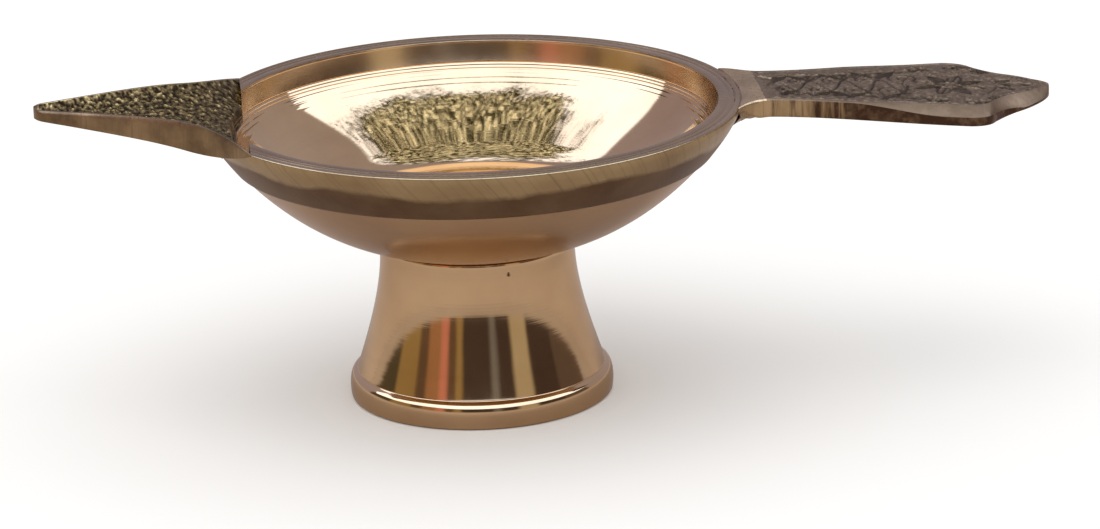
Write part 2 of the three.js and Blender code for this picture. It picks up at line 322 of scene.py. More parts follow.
def noise_at(tree, vector, scale, detail=3, roughness=0.55):
    inputs = {"Vector": vector, "Scale": scale, "Detail": detail, "Roughness": roughness}
    return add_node(tree, "ShaderNodeTexNoise", inputs).outputs["Fac"]


def lathe_coordinates(tree):
    """Sockets: place from the axis, its x, radius, angle round the axis, height."""
    coordinates = add_node(tree, "ShaderNodeTexCoord").outputs["Object"]
    inputs = {"Vector": coordinates, "Location": (-AXIS_X, 0, 0)}
    centred = add_node(tree, "ShaderNodeMapping", inputs).outputs[0]
    x, y, z = add_node(tree, "ShaderNodeSeparateXYZ", {"Vector": centred}).outputs
    radius = maths(tree, "SQRT", scale_add(tree, x, x, maths(tree, "MULTIPLY", y, y)))
    return centred, x, radius, maths(tree, "ARCTAN2", y, x), z


def combine(tree, x, y, z):
    return add_node(tree, "ShaderNodeCombineXYZ", {0: x, 1: y, 2: z}).outputs[0]


def bump(tree, height, distance, normal=None):
    inputs = {"Height": height, "Distance": distance * MM}
    if normal is not None:
        inputs["Normal"] = normal
    return add_node(tree, "ShaderNodeBump", inputs).outputs[0]


def start_brass(name):
    material = bpy.data.materials.new(name)
    material.use_nodes = True
    tree = material.node_tree
    tree.nodes["Principled BSDF"].inputs["Metallic"].default_value = 1
    return material, tree


def end_brass(material, colour, roughness, normal):
    tree = material.node_tree
    for name, value in (("Base Color", colour), ("Roughness", roughness), ("Normal", normal)):
        tree.links.new(value, tree.nodes["Principled BSDF"].inputs[name])
    return material


# %% Brass tones
BRIGHT = (0.78, 0.565, 0.325)
WARM = (0.64, 0.44, 0.245)
# The redder tone is the stud's colour, and on the bowl's underside it is a painted reflection.
REDDER_TONE = (0.55, 0.36, 0.205)
PATINA = (0.10, 0.075, 0.045)
print("tones: bright", BRIGHT, "warm", WARM, "red", REDDER_TONE)

# %% [markdown]
# ### Polished on the lathe
#
# The dish, the foot and the underside of the bowl were turned and then polished. The tool leaves
# fine rings, and handling leaves faint stains. Noise that reads only the radius and the height
# gives rings, because it is the same all the way round. They go into the bump and very little
# into the colour, so the metal stays a mirror. A casting pit is a dark ball with a ragged edge.


# %% Finish: polished on the lathe
def turned_brass(name, light, dark, rough=0.13, lines=1.0, pits=()):
    material, tree = start_brass(name)
    centred, _, radius, _, height = lathe_coordinates(tree)
    profile = combine(tree, radius, 0, height)
    stains = noise_at(tree, centred, 55, 4)
    fine = noise_at(tree, profile, 5200, 2)
    wide = noise_at(tree, profile, 900, 2)
    rubbed = noise_at(tree, centred, 320, 5, 0.7)
    colour = fade(tree, stains, 0.35, 0.7, light, dark)
    colour = fade(tree, wide, 0.5, 0.75, colour, dark, 0.22)
    roughness = scale_add(tree, rubbed, 0.08, rough - 0.04)
    normal = bump(tree, scale_add(tree, fine, 0.35, wide), 0.012 * lines)
    colour, normal = add_pits(tree, centred, pits, colour, normal)
    return end_brass(material, colour, roughness, normal)


def add_pits(tree, centred, pits, colour, normal):
    """Small dark holes left by the casting. Each is a place from the axis and a size, in mm."""
    for place, size in pits:
        inputs = {0: centred, 1: tuple(v * MM for v in place)}
        gap = add_node(tree, "ShaderNodeVectorMath", inputs, operation="DISTANCE").outputs["Value"]
        ragged = scale_add(tree, noise_at(tree, centred, 2400, 2), 0.8 * size * MM, gap)
        share = maths(tree, "DIVIDE", ragged, 1.5 * size * MM)
        inside = ramp(tree, share, ((0.45, 1), (0.85, 0)))
        colour = mix(tree, inside, colour, PATINA)
        normal = bump(tree, inside, -0.25, normal)
    return colour, normal


# %% [markdown]
# ### Rim band
#
# The thick band round the bowl was turned, and in its upper part the tool chattered and left
# slanted marks. Below a wavering line the band's colour is painted shade: a dark brown that
# stands in for the dark it reflects from under the bowl, and there the metal is also rougher. The
# marks are noise that changes fast round the axis, and the line is a height with noise added.
# One finish does both, so the line needs no edge in the mesh.


# %% Finish: rim band with chatter marks
KHAKI, KHAKI_STAIN, CHATTER = (0.50, 0.375, 0.20), (0.38, 0.27, 0.14), (0.24, 0.17, 0.10)
# Painted shade: these dark browns colour the band below the wavering line, for the dark it
# reflects.
BAND_SHADE, BAND_SHADE_PATCH = (0.16, 0.095, 0.048), (0.24, 0.155, 0.085)
SHADE_LINE_DEPTH = 5.6  # from the rim down to the middle of the wavering line, less its waves


def chattered_brass(name, pits=()):
    material, tree = start_brass(name)
    centred, _, radius, angle, height = lathe_coordinates(tree)
    slanted = maths(tree, "MULTIPLY", scale_add(tree, height, 18, angle), 42)
    marks = noise_at(tree, combine(tree, slanted, radius, 0), 1, 2, 0.7)
    rings = noise_at(tree, combine(tree, radius, 0, height), 1500, 2)
    stains = noise_at(tree, centred, 90, 4)
    line = scale_add(tree, noise_at(tree, centred, 60, 4), 5 * MM, (RIM_Z - SHADE_LINE_DEPTH) * MM)
    # Painted shade: below the wavering line the colour turns dark brown, for the dark the band
    # reflects.
    shade_zone = maths(tree, "DIVIDE", maths(tree, "SUBTRACT", line, height), 0.9 * MM, clamp=True)
    turned_tone = fade(tree, stains, 0.35, 0.7, KHAKI, KHAKI_STAIN)
    turned_tone = fade(tree, marks, 0.52, 0.7, turned_tone, CHATTER, 0.6)
    shade_tone = fade(tree, stains, 0.35, 0.65, BAND_SHADE, BAND_SHADE_PATCH)
    colour = mix(tree, shade_zone, turned_tone, shade_tone)
    roughness = scale_add(tree, shade_zone, 0.14, scale_add(tree, stains, 0.18, 0.14))
    normal = bump(tree, rings, 0.02, bump(tree, marks, 0.05))
    colour, normal = add_pits(tree, centred, pits, colour, normal)
    return end_brass(material, colour, roughness, normal)


# %% [markdown]
# ### Stippled, as cast
#
# The floor of the spout keeps the grain of the sand it was cast in. Soot and oil stay in the
# hollows, and the high grains are rubbed bright. The grain is in the mesh, which stores how high
# each place is in an attribute named relief. The finish turns that into colour and roughness.


# %% Finish: stippled, as cast
SOOT, OILY, GRAIN_SIDE, GRAIN_TOP = ((0.03, 0.019, 0.009), (0.125, 0.082, 0.034),
                                     (0.29, 0.20, 0.082), (0.76, 0.56, 0.24))


def stippled_brass(name):
    material, tree = start_brass(name)
    centred = lathe_coordinates(tree)[0]
    relief = add_node(tree, "ShaderNodeAttribute", attribute_name="relief").outputs["Fac"]
    grain = noise_at(tree, centred, 2800, 4, 0.65)
    depth = scale_add(tree, relief, 0.75, maths(tree, "MULTIPLY", grain, 0.4))
    colour = ramp(tree, depth, ((0.3, SOOT), (0.55, OILY), (0.8, GRAIN_SIDE), (1.0, GRAIN_TOP)))
    roughness = ramp(tree, depth, ((0.3, 0.6), (0.8, 0.24)))
    return end_brass(material, colour, roughness, bump(tree, grain, 0.12))


# %% [markdown]
# ### Filed by hand
#
# The sides of the spout and the handle were dressed with a file, across their thickness. Noise
# that is stretched upright gives such marks. Towards its head the handle's side is coloured
# dark brown, with an edge that follows the marks.


# %% Finish: filed by hand
FILE_MARK = (0.22, 0.15, 0.085)


def filed_brass(name, light, dark, rough=0.3, dark_towards_head=None):
    """The last argument is (start, end, tone): past start, in mm along +X, the colour turns that
    dark.
    """
    material, tree = start_brass(name)
    centred, along = lathe_coordinates(tree)[:2]
    upright = add_node(tree, "ShaderNodeMapping", {"Vector": centred, "Scale": (1, 1, 0.06)})
    marks = noise_at(tree, upright.outputs[0], 1300, 3, 0.7)
    stains = noise_at(tree, centred, 140, 4, 0.6)
    colour = fade(tree, stains, 0.38, 0.66, light, dark)
    colour = fade(tree, marks, 0.5, 0.72, colour, FILE_MARK, 0.6)
    if dark_towards_head is not None:
        start, end, tone = dark_towards_head
        ragged = scale_add(tree, maths(tree, "SUBTRACT", marks, 0.5), 30 * MM, along)
        past = maths(tree, "SUBTRACT", ragged, start * MM)
        darkness = maths(tree, "DIVIDE", past, (end - start) * MM, clamp=True)
        rubbed = ramp(tree, noise_at(tree, centred, 420, 4, 0.65), ((0.48, 1), (0.66, 0.7)))
        colour = mix(tree, maths(tree, "MULTIPLY", darkness, rubbed), colour, tone)
    roughness = ramp(tree, marks, ((0.3, rough - 0.06), (0.8, rough + 0.16)))
    return end_brass(material, colour, roughness, bump(tree, marks, 0.05))


# %% [markdown]
# ### Engraved and darkened
#
# A dark patina was put on the handle's top and wiped off again, so that it stays in the cuts and
# in the punched ground, and the high places show brass. The same relief attribute drives it. The
# patina fades out before the rim, where no engraving is.


# %% Finish: engraved and darkened
CUT_TONE, GROUND, WORN, RUBBED = ((0.045, 0.029, 0.017), (0.145, 0.098, 0.06),
                                  (0.25, 0.175, 0.11), (0.46, 0.33, 0.20))
ROOT_TONE = (0.26, 0.18, 0.11)
PATINA_START, PATINA_FADE = BOWL_R + 4.8, 3  # millimetres from the axis


def engraved_brass(name):
    material, tree = start_brass(name)
    centred, along = lathe_coordinates(tree)[:2]
    relief = add_node(tree, "ShaderNodeAttribute", attribute_name="relief").outputs["Fac"]
    rubbed = noise_at(tree, centred, 260, 5, 0.68)
    grain = noise_at(tree, centred, 2600, 3)
    high = scale_add(tree, relief, 0.72, maths(tree, "MULTIPLY", rubbed, 0.42))
    colour = ramp(tree, high, ((0.30, CUT_TONE), (0.60, GROUND), (0.84, WORN), (0.98, RUBBED)))
    past = maths(tree, "SUBTRACT", scale_add(tree, rubbed, 4 * MM, along), PATINA_START * MM)
    darkened = maths(tree, "DIVIDE", past, PATINA_FADE * MM, clamp=True)
    colour = mix(tree, darkened, ROOT_TONE, colour)
    roughness = ramp(tree, high, ((0.3, 0.62), (0.95, 0.34)))
    return end_brass(material, colour, roughness, bump(tree, grain, 0.05))


# %% [markdown]
# ## The foot
#
# The foot is a hollow flared casting, turned outside. A fine groove above its base band catches
# the light. Its outline runs from the bore over the neck, down the outside, round the standing
# ring and back up the inside, and it is spun.

# %% Foot
WEB_Z = FOOT_Z - 8.2  # underside of the solid neck that holds the thread


def foot_outline():
    groove_z = BASE_BAND + 1.0
    waist = FOOT_R - 1.4
    neck = FOOT_Z - groove_z
    outside = bezier((SEAM_R - 0.05, FOOT_Z - 0.05), (SEAM_R - 0.4, FOOT_Z - 0.32 * neck),
                     (waist - 1.9, groove_z + 0.28 * neck), (waist, groove_z), 40)
    groove = quadratic((waist + 0.03, groove_z - 0.08), (waist - 0.1, groove_z - 0.3),
                       (waist + 0.4, groove_z - 0.42), 8)
    band = bezier((FOOT_R - 0.8, BASE_BAND + 0.5), (FOOT_R - 0.1, BASE_BAND + 0.25),
                  (FOOT_R + 0.05, 1.6), (FOOT_R - 0.25, 0.25), 16)
    inside = bezier((FOOT_R - 3.6, 0.25), (FOOT_R - 4.7, 0.36 * WEB_Z),
                    (SEAM_R - 2.2, 0.72 * WEB_Z), (SEAM_R - 3, WEB_Z - 0.8), 20)
    top = BOWL_Z - 0.03
    return [(BORE_R, WEB_Z + 0.5), (BORE_R, top - 0.4), (BORE_R + 0.4, top),
            (SEAM_R - 0.35, top), (SEAM_R - 0.12, top - 0.14), *outside, *groove,
            *band, (FOOT_R - 0.6, 0), (FOOT_R - 3.3, 0), *inside, (SEAM_R - 3.7, WEB_Z),
            (BORE_R + 0.5, WEB_Z), (BORE_R, WEB_Z + 0.5)]


foot = turned("foot_turned", foot_outline())
NECK_PIT = ((3.6, -15.0, 23.2), 0.42)  # place and size
SCRATCH = [((8.6 + 0.75 * i, -14.4 + 0.62 * i, 11.7 + 0.12 * i), 0.32) for i in range(5)]
finish_piece(foot, "foot", "foot", "foot_brass",
             turned_brass("foot_finish", BRIGHT, WARM, 0.07, 0.6, [NECK_PIT, *SCRATCH]))

# %% [markdown]
# ## The stud
#
# A double-ended stud joins foot and bowl. Its thread shows when the bowl is unscrewed, so it is
# real: the radius of each ring rises and falls with its height, and that wave goes once round
# the stud for every pitch.


# %% Stud
THREAD_ROOT, THREAD_DEPTH = 4.05, 0.8


def stud_rings(around=56, rows_per_turn=14):
    rings = []
    rows = round((STUD_HIGH - STUD_LOW) / PITCH * rows_per_turn)
    for row in range(rows + 1):
        z = lerp(STUD_LOW, STUD_HIGH, row / rows)
        end = min(z - STUD_LOW, STUD_HIGH - z)
        ring = []
        for i in range(around):
            turn = (z / PITCH - i / around) % 1
            crest = 1 - abs(2 * turn - 1)
            radius = THREAD_ROOT + THREAD_DEPTH * smooth(0.12, 0.85, crest)
            radius = min(radius, THREAD_ROOT - 0.15 + 1.1 * end)
            angle = 2 * math.pi * i / around
            ring.append((radius * math.cos(angle), radius * math.sin(angle), z))
        rings.append(ring)
    return rings


stud = skinned("threaded_stud", stud_rings(), 40)
finish_piece(stud, "stud", "foot_stud", "stud_brass",
             turned_brass("stud_finish", WARM, REDDER_TONE, 0.25))

# %% [markdown]
# ## The bowl
#
# The bowl is one casting turned inside and out. From the seam its underside sweeps out to a
# small step under the thick rim band. The band swells to the flat top face, which has two fine
# rings. Inside, a lip drops almost straight, then a row of small steps left by the turner
# breaks the reflections into bright and brown lines before the dish curves in to its floor.
# The same outline gives the metal of the bowl and, later, the tool that trims the spout.


# %% Bowl outlines
BAND_Z = RIM_Z - BAND
BAND_R = BOWL_R - BAND_INSET
DISH_R = BOWL_R - RIM_FACE
LIP, LIP_LEAN = 3.5, 0.75  # height of the lip, and how far it leans in
STEPS_AT = ((3.6, 0.09), (4.0, 0.06), (4.5, 0.10), (5.0, 0.07), (5.6, 0.08), (6.3, 0.05))
STEP_WIDTH = 0.11


def underside(steps=36):
    start, end = (SEAM_R, BOWL_Z + 0.3), (BAND_R - 0.6, BAND_Z - 0.2)
    run, climb = end[0] - start[0], end[1] - start[1]
    return bezier(start, (start[0] + 0.41 * run, start[1] + 0.16 * climb),
                  (end[0] - 0.27 * run, end[1] - 0.48 * climb), end, steps)


def band_outline():
    end = (BOWL_R, RIM_Z - 0.9)
    height = end[1] - BAND_Z
    swell = bezier((BAND_R, BAND_Z + 0.05), (BAND_R + 0.4 * BAND_INSET, BAND_Z + 0.33 * height),
                   (BOWL_R - 0.24 * BAND_INSET, BAND_Z + 0.64 * height), end, 20)
    edge = quadratic((BOWL_R, RIM_Z - 0.3), (BOWL_R, RIM_Z), (BOWL_R - 0.3, RIM_Z), 5)
    return [(BAND_R - 0.25, BAND_Z - 0.12), *swell, *edge]


def rim_face_outline():
    """Flat top with two fine rings, from outside in."""
    rings = []
    for radius, depth in ((BOWL_R - 1.1, 0.10), (BOWL_R - 2.0, 0.07)):
        rings += [(radius + 0.16, RIM_Z), (radius, RIM_Z - depth), (radius - 0.16, RIM_Z)]
    return [*rings, (DISH_R + 0.3, RIM_Z), (DISH_R + 0.08, RIM_Z - 0.08), (DISH_R, RIM_Z - 0.3)]


def dish_outline():
    """From the rim's inner edge down to the middle of the floor."""
    base = underside(2)[1]
    curve = underside(40)
    along = Vector((curve[21][0] - curve[19][0], curve[21][1] - curve[19][1])).normalized()
    middle = (base[0] - WALL * along.y, base[1] + WALL * along.x)
    lip, foot_of_lip = (DISH_R, RIM_Z - 0.4), (DISH_R - LIP_LEAN, RIM_Z - LIP)
    upper = bezier(lip, (DISH_R - 0.2, RIM_Z - 1.4), (DISH_R - 0.45, RIM_Z - 2.5), foot_of_lip, 60)
    lower = bezier(foot_of_lip, (DISH_R - 1.75, RIM_Z - 6.6),
                   (middle[0] + 5.5 * along.x, middle[1] + 5.5 * along.y), middle, 120)
    wall = upper + lower[1:]
    inward = 0.3 * middle[0]
    floor = bezier(middle, (middle[0] - inward * along.x, middle[1] - inward * along.y),
                   (0.35 * middle[0], FLOOR_Z), (0, FLOOR_Z), 30)
    return [(radius + turning_steps(height), height) for radius, height in wall] + floor[1:]


def turning_steps(height):
    """How far the small steps below the lip stand back from the wall, in millimetres."""
    depth = RIM_Z - height
    return sum(size * math.exp(-((depth - at) / STEP_WIDTH) ** 2) for at, size in STEPS_AT)


# %% [markdown]
# ## The wick spout
#
# The spout is a tapered leaf, let into a notch in the rim. Its top is a shallow channel with a
# stippled floor and thin plain ridges, and it rises a little above the rim. Sections across
# the spout are skinned together. The same sections without their channel, and carried up high,
# make the tool that cuts the notch. The stippling is real relief: two sizes of grain lift the
# floor by up to a third of a millimetre.


# %% Spout outline and levels
def spout_outline():
    slope = (THROAT_W - TIP_W) / (SPOUT_X - THROAT)
    flare = (THROAT - MOUTH) / 2.6
    mouth_w = math.sqrt(BOWL_R ** 2 - MOUTH ** 2)
    side = bezier((MOUTH, mouth_w),
                  (MOUTH + 1.7 * flare * mouth_w / BOWL_R, mouth_w - 1.7 * flare * MOUTH / BOWL_R),
                  (THROAT - flare, THROAT_W + flare * slope), (THROAT, THROAT_W), 24)
    return side + [(SPOUT_X, TIP_W)]


SPOUT_OUTLINE = spout_outline()
MOUTH_EDGE, TIP_EDGE = 5.6, 1.5  # thickness of its sides at the mouth and at the tip
CHANNEL, RIDGE, GRAIN = 3.4, 0.7, 0.32  # depth, width of the ridges, height of the grains
TIP_ROUND = 1.3
TOOL_RISE = 6  # how much higher than the spout the tool for its notch is
print(f"spout {2 * SPOUT_OUTLINE[0][1]:.1f} mm wide at its mouth, {2 * TIP_W} mm at its tip")


def spout_level(reach):
    share = (reach - MOUTH) / (SPOUT_X - MOUTH)
    thickness = lerp(MOUTH_EDGE, TIP_EDGE, share)
    flare = max(0, (THROAT - reach) / (THROAT - MOUTH))
    depth = CHANNEL * (1 - min(share, 1)) ** 0.6 + 0.8 * share
    return {"ridge": RIM_Z + (SPOUT_Z - RIM_Z) * (1 - (1 - share) ** 5), "depth": depth,
            "edge": thickness * (1 - 0.95 * flare ** 2),
            "keel": max(depth + 1.7 * (1 - share / 2), thickness)}


def stipple(x, y):
    """Relief of the as-cast floor at a place, from 0 in its hollows to 1 on its grains."""
    coarse = noise.noise(Vector((x * 1.3, y * 1.3, 3.1)))
    fine = noise.noise(Vector((x * 2.7, y * 2.7, 7.7)))
    return min(1, max(0, 0.45 + 0.7 * coarse + 0.7 * fine))


# %% Spout sections
FLOOR_COLUMNS, SIDE_COLUMNS, KEEL_COLUMNS = 170, 8, 28


def spout_ring(reach, half, level, channel_cut):
    """One closed section: ridge, channel floor, ridge, side, keel, side."""
    ridge, edge = level["ridge"], level["edge"]
    inner = half - min(RIDGE, 0.45 * half)
    points = []
    for i in range(FLOOR_COLUMNS):
        side = 2 * i / (FLOOR_COLUMNS - 1) - 1
        y = side * inner
        z = ridge
        if channel_cut:
            rough = smooth(0, 0.1, 1 - abs(side)) * smooth(0, 2, SPOUT_X - 0.5 - reach)
            z -= level["depth"] * (1 - side ** 2) + rough * GRAIN * (1 - stipple(reach, y))
        points.append((-reach, y, z))
    round_edge = min(0.35, 0.2 * half, 0.3 * edge)
    wall = []
    for i in range(SIDE_COLUMNS):
        t = i / (SIDE_COLUMNS - 1)
        y = half - round_edge * (1 - smooth(0, 0.2, t)) * 0.6
        wall.append((y, ridge - edge * t - (0 if i else 0.02)))
    points += [(-reach, y, z) for y, z in wall]
    for i in range(1, KEEL_COLUMNS):
        side = 1 - 2 * i / KEEL_COLUMNS
        z = ridge - edge - (level["keel"] - edge) * (1 - side ** 2)
        points.append((-reach, side * half, z))
    return points + [(-reach, -y, z) for y, z in reversed(wall)]


def spout_rings(channel_cut, rows=200):
    rings = []
    for row in range(rows + 1):
        reach = lerp(MOUTH, SPOUT_X, 1 - (1 - row / rows) ** 1.15)
        half = interpolate(reach, SPOUT_OUTLINE)
        level = spout_level(reach)
        if channel_cut:
            beyond = max(0, reach - (SPOUT_X - TIP_ROUND)) / TIP_ROUND
            half *= math.sqrt(max(0.04, 1 - beyond ** 2 * 0.9))
        else:
            for part in ("ridge", "edge", "keel"):
                level[part] += TOOL_RISE
        rings.append(spout_ring(reach, half, level, channel_cut))
    return rings


spout = skinned("stippled_spout", spout_rings(True))
above = RIM_Z + 9
dish_tool = turned("dish_tool", [*reversed(dish_outline()), (DISH_R, above), (0, above)])
cut(spout, dish_tool)

# %% Bowl, with its notch for the spout
BORE_TOP = BOWL_Z + 4.9
bowl_profile = [(0, BORE_TOP), (BORE_R, BORE_TOP), (BORE_R, BOWL_Z + 0.4), (BORE_R + 0.4, BOWL_Z),
                (SEAM_R - 0.35, BOWL_Z), (SEAM_R - 0.1, BOWL_Z + 0.14), *underside(),
                *band_outline(), *rim_face_outline(), *dish_outline()]
bowl = turned("turned_bowl", bowl_profile)
notch_tool = skinned("notch_tool", spout_rings(False, 60))
cut(bowl, notch_tool)


# %% [markdown]
# ### Where each finish goes
#
# The real bowl was polished inside and turned more roughly at the lip and on the flat top. The
# lower part of the band carries painted shade, and the underside a darker, redder tone than the
# dish as a painted reflection of the dim ground below it. It is one piece of metal, so it stays
# one piece here too: each face takes the number of its finish from where it is and which way it
# looks.


# %% Helpers that paint a piece
def paint(piece, choose):
    """Give each face the number of its finish, by its middle in millimetres from the axis."""
    for face in piece.data.polygons:
        x, y, z = face.center
        face.material_index = choose((x - AXIS_X) / MM, y / MM, z / MM, face.normal)


def write_relief(piece, height_at):
    """Store a height from 0 to 1 at every vertex."""
    values = piece.data.attributes.new("relief", "FLOAT", "POINT")
    for vertex, value in zip(piece.data.vertices, values.data):
        x, y, z = vertex.co
        value.value = height_at((x - AXIS_X) / MM, y / MM, z / MM)


# %% Bowl finishes
RIM_PIT = ((-9.2, -40.4, 43.7), 0.5)
DISH_FINISH, BAND_FINISH, UNDER_FINISH, LIP_FINISH, TOP_FINISH = range(5)
finish_piece(bowl, "bowl", "bowl", "turned_brass",
             turned_brass("dish_finish", BRIGHT, WARM, 0.05, 0.3),
             chattered_brass("rim_band_finish", [RIM_PIT]),
             # Painted reflection: the underside gets a darker, redder tone than the dish, for the
             # dim ground it faces.
             turned_brass("underside_finish", WARM, REDDER_TONE, 0.20),
             turned_brass("lip_finish", BRIGHT, WARM, 0.19, 0.3),
             turned_brass("rim_face_finish", (0.45, 0.31, 0.175), (0.31, 0.205, 0.115), 0.26))


def bowl_finish(x, y, z, normal):
    outwards = normal.x * x + normal.y * y > 0
    if z > RIM_Z - 0.2 and normal.z > 0.8:
        return TOP_FINISH
    if math.hypot(x, y) > DISH_R - 0.9 and z > BAND_Z - 0.1 and outwards:
        return BAND_FINISH
    if z > RIM_Z - LIP:
        return LIP_FINISH
    return DISH_FINISH if normal.z > 0 or z > BAND_Z else UNDER_FINISH


paint(bowl, bowl_finish)


# %% Spout finishes
def spout_height(x, y, z):
    reach = min(max(-x, MOUTH), SPOUT_X)
    ridge = spout_level(reach)["ridge"]
    return 1.0 if z > ridge - 0.05 else stipple(reach, y)


def is_floor(x, y, z, normal):
    reach = min(max(-x, MOUTH), SPOUT_X)
    inner = interpolate(reach, SPOUT_OUTLINE) - RIDGE
    return normal.z > 0.1 and abs(y) < inner and reach < SPOUT_X - 0.8


finish_piece(spout, "bowl", "wick_spout", "cast_brass",
             filed_brass("spout_side_finish", (0.37, 0.26, 0.14), (0.15, 0.10, 0.055), 0.3),
             stippled_brass("spout_floor_finish"))
write_relief(spout, spout_height)
paint(spout, lambda x, y, z, normal: 1 if is_floor(x, y, z, normal) else 0)

# %% [markdown]
# ## The handle
#
# The handle is a flat casting: a stem that widens to a leaf-shaped head. Its top is engraved
# and darkened, its edges are filed, and round the head they are bevelled. The sections across
# it are skinned, and the first ones are bent to follow the rim. The engraving is a plain vine
# with leaves and a flower, drawn as curves. Every vertex of the top looks up its distance to
# the nearest curve and sinks by the depth of the cut there.


# %% Handle outline
def handle_outline():
    neck_x, nose = BOWL_R + ROOT_FLARE, HANDLE_X - HEAD
    root = (math.sqrt(BOWL_R ** 2 - (STEM_W + ROOT_FLARE) ** 2), STEM_W + ROOT_FLARE)
    shoulder = (HEAD + 0.28 * nose, 0.83 * HEAD_W)
    waist = (HEAD + 0.59 * nose, 0.54 * HEAD_W)
    outline = quadratic(root, (BOWL_R + 0.25 * ROOT_FLARE, STEM_W), (neck_x, STEM_W))
    outline += bezier((neck_x, STEM_W), (neck_x + 0.32 * (HEAD - neck_x), STEM_W),
                      (HEAD - 0.36 * (HEAD - neck_x), 0.89 * HEAD_W), (HEAD, HEAD_W), 30)[1:]
    outline += quadratic((HEAD, HEAD_W), (HEAD + 0.2 * nose, HEAD_W), shoulder)[1:]
    outline += quadratic(shoulder, (HEAD + 0.42 * nose, 0.62 * HEAD_W), waist)[1:]
    outline += bezier(waist, (HEAD + 0.84 * nose, 0.44 * HEAD_W), (HANDLE_X, 0.17 * HEAD_W),
                      (HANDLE_X, 0), 30)[1:]
    return outline


HANDLE_OUTLINE = handle_outline()
print(f"handle {2 * STEM_W:.1f} mm wide at its stem, {2 * HEAD_W:.1f} mm at its head")


# %% Engraving curves
def unit(heading):
    return Vector((math.cos(heading), math.sin(heading)))


def leaf(x, y, heading, length, width, filled=False):
    """Both edges and the midrib of a leaf that starts at (x, y); a filled leaf is cut all over."""
    points = []
    along = unit(heading)
    across = Vector((-along.y, along.x))
    sides = (-1, -0.5, 0, 0.5, 1) if filled else (-1, 0, 1)
    for i in range(31):
        t = i / 30
        swell = width * math.sin(math.pi * t ** 0.8)
        points += [Vector((x, y)) + along * length * t + across * side * swell for side in sides]
    return points


def scroll(x, y, heading, size, side):
    """A spiral tendril that leaves (x, y) and curls in to its middle."""
    centre = Vector((x, y)) + size * unit(heading)
    points = []
    for i in range(60):
        t = i / 59
        turn = heading + math.pi + side * 3.2 * math.pi * t
        points.append(centre + size * (1 - 0.85 * t) * unit(turn))
    return points


VINE_START, VINE_END = BOWL_R + 4.5, HEAD - 7.5
FLOWER_X = HEAD - 1.0
BORDER = 0.7  # from the bevel to the line round the engraving


def vine():
    """A wavy stem with a scroll in each hollow and a pair of leaves at each crest."""
    points = []
    waves = 8
    for i in range(500):
        t = i / 499
        x = lerp(VINE_START, VINE_END, t)
        half = interpolate(x, HANDLE_OUTLINE) - 1.6
        points.append(Vector((x, 0.34 * half * math.sin(waves * math.pi * t))))
    for i in range(waves):
        x = lerp(VINE_START, VINE_END, (i + 0.5) / waves)
        side = 1 if i % 2 == 0 else -1
        half = interpolate(x, HANDLE_OUTLINE) - 1.6
        points += scroll(x + 0.9, -side * 0.1 * half, -side * 1.4, 0.26 * half, side)
        points += leaf(x - 0.3, side * 0.38 * half, side * 0.9, 0.55 * half, 0.75, i % 3 == 0)
        points += leaf(x - 0.6, side * 0.42 * half, side * 2.3, 0.5 * half, 0.65)
        points += leaf(x + 0.6, -side * 0.62 * half, -side * 0.5, 0.42 * half, 0.6)
    return points


def flower():
    """Eight cut petals round an eye, inside a ring, with scrolls and leaves outside it."""
    points = []
    for i in range(8):
        heading = 2 * math.pi * (i + 0.5) / 8
        start = Vector((FLOWER_X, 0)) + 1.6 * unit(heading)
        points += leaf(start.x, start.y, heading, 4.6, 1.05, i % 2 == 0)
    for i in range(90):
        out = unit(2 * math.pi * i / 90)
        points += [Vector((FLOWER_X, 0)) + radius * out for radius in (0.9, 7.3)]
    for side in (-1, 1):
        for x, size in ((FLOWER_X - 4.5, 1.5), (FLOWER_X + 1.2, 1.6), (FLOWER_X + 5.2, 1.3)):
            edge = interpolate(x, HANDLE_OUTLINE) - 2.9
            points += scroll(x, side * (edge - 2 * size), side * 1.2, size, side)
            points += leaf(x + 1.2, side * (edge - 0.9), -side * 0.5, 2.4, 0.5)
        points += leaf(FLOWER_X + 7.8, side * 1.3, side * 0.7, 3.0, 0.7)
    points += leaf(FLOWER_X + 8.3, 0, 0, 5.0, 1.1, True)
    return points


def border():
    """A line that follows the outline all round."""
    points = []
    for side in (-1, 1):
        for i in range(300):
            x = lerp(VINE_START - 0.8, HANDLE_X - 2.8, i / 299)
            y = interpolate(x, HANDLE_OUTLINE) - bevel_at(x) - BORDER
            points.append(Vector((x, side * y)))
    return points


def bevel_at(x):
    """Width of the bevel: a broken edge along the stem, broad round the head."""
    towards_nose = 0.4 * smooth(HEAD + 4, HANDLE_X - 3, x)
    return lerp(0.3, 1.9, smooth(BOWL_R + 16, HEAD - 4, x)) + towards_nose


engraving = vine() + flower() + border()
cuts = kdtree.KDTree(len(engraving))
for number, point in enumerate(engraving):
    cuts.insert((point.x, point.y, 0), number)
cuts.balance()
print("engraving curves drawn with", len(engraving), "points")


def engraved_height(x, y, z=0):
    """From 0 in a cut to 1 on untouched metal, with a lightly punched ground."""
    distance = cuts.find((x, y, 0))[2]
    ground = 0.3 * noise.noise(Vector((x * 1.9, y * 1.9, 1.3)))
    return min(1, max(0, (0.25 + 0.75 * smooth(0.05, 0.42, distance)) * (0.82 + ground)))


# %% Handle sections
TOP_COLUMNS = 150
UNDER_COLUMNS = 16
CUT_DEPTH = 0.5
ROOT_EDGE = 0.25  # thickness left at the two corners of the root


def handle_top(x, from_root):
    """Height of the top face, faired down to the rim at its root."""
    fairing = HANDLE_RISE * math.exp(-max(0, from_root) / 1.1)
    return RIM_Z + HANDLE_RISE - DROOP * (x - BOWL_R) - fairing


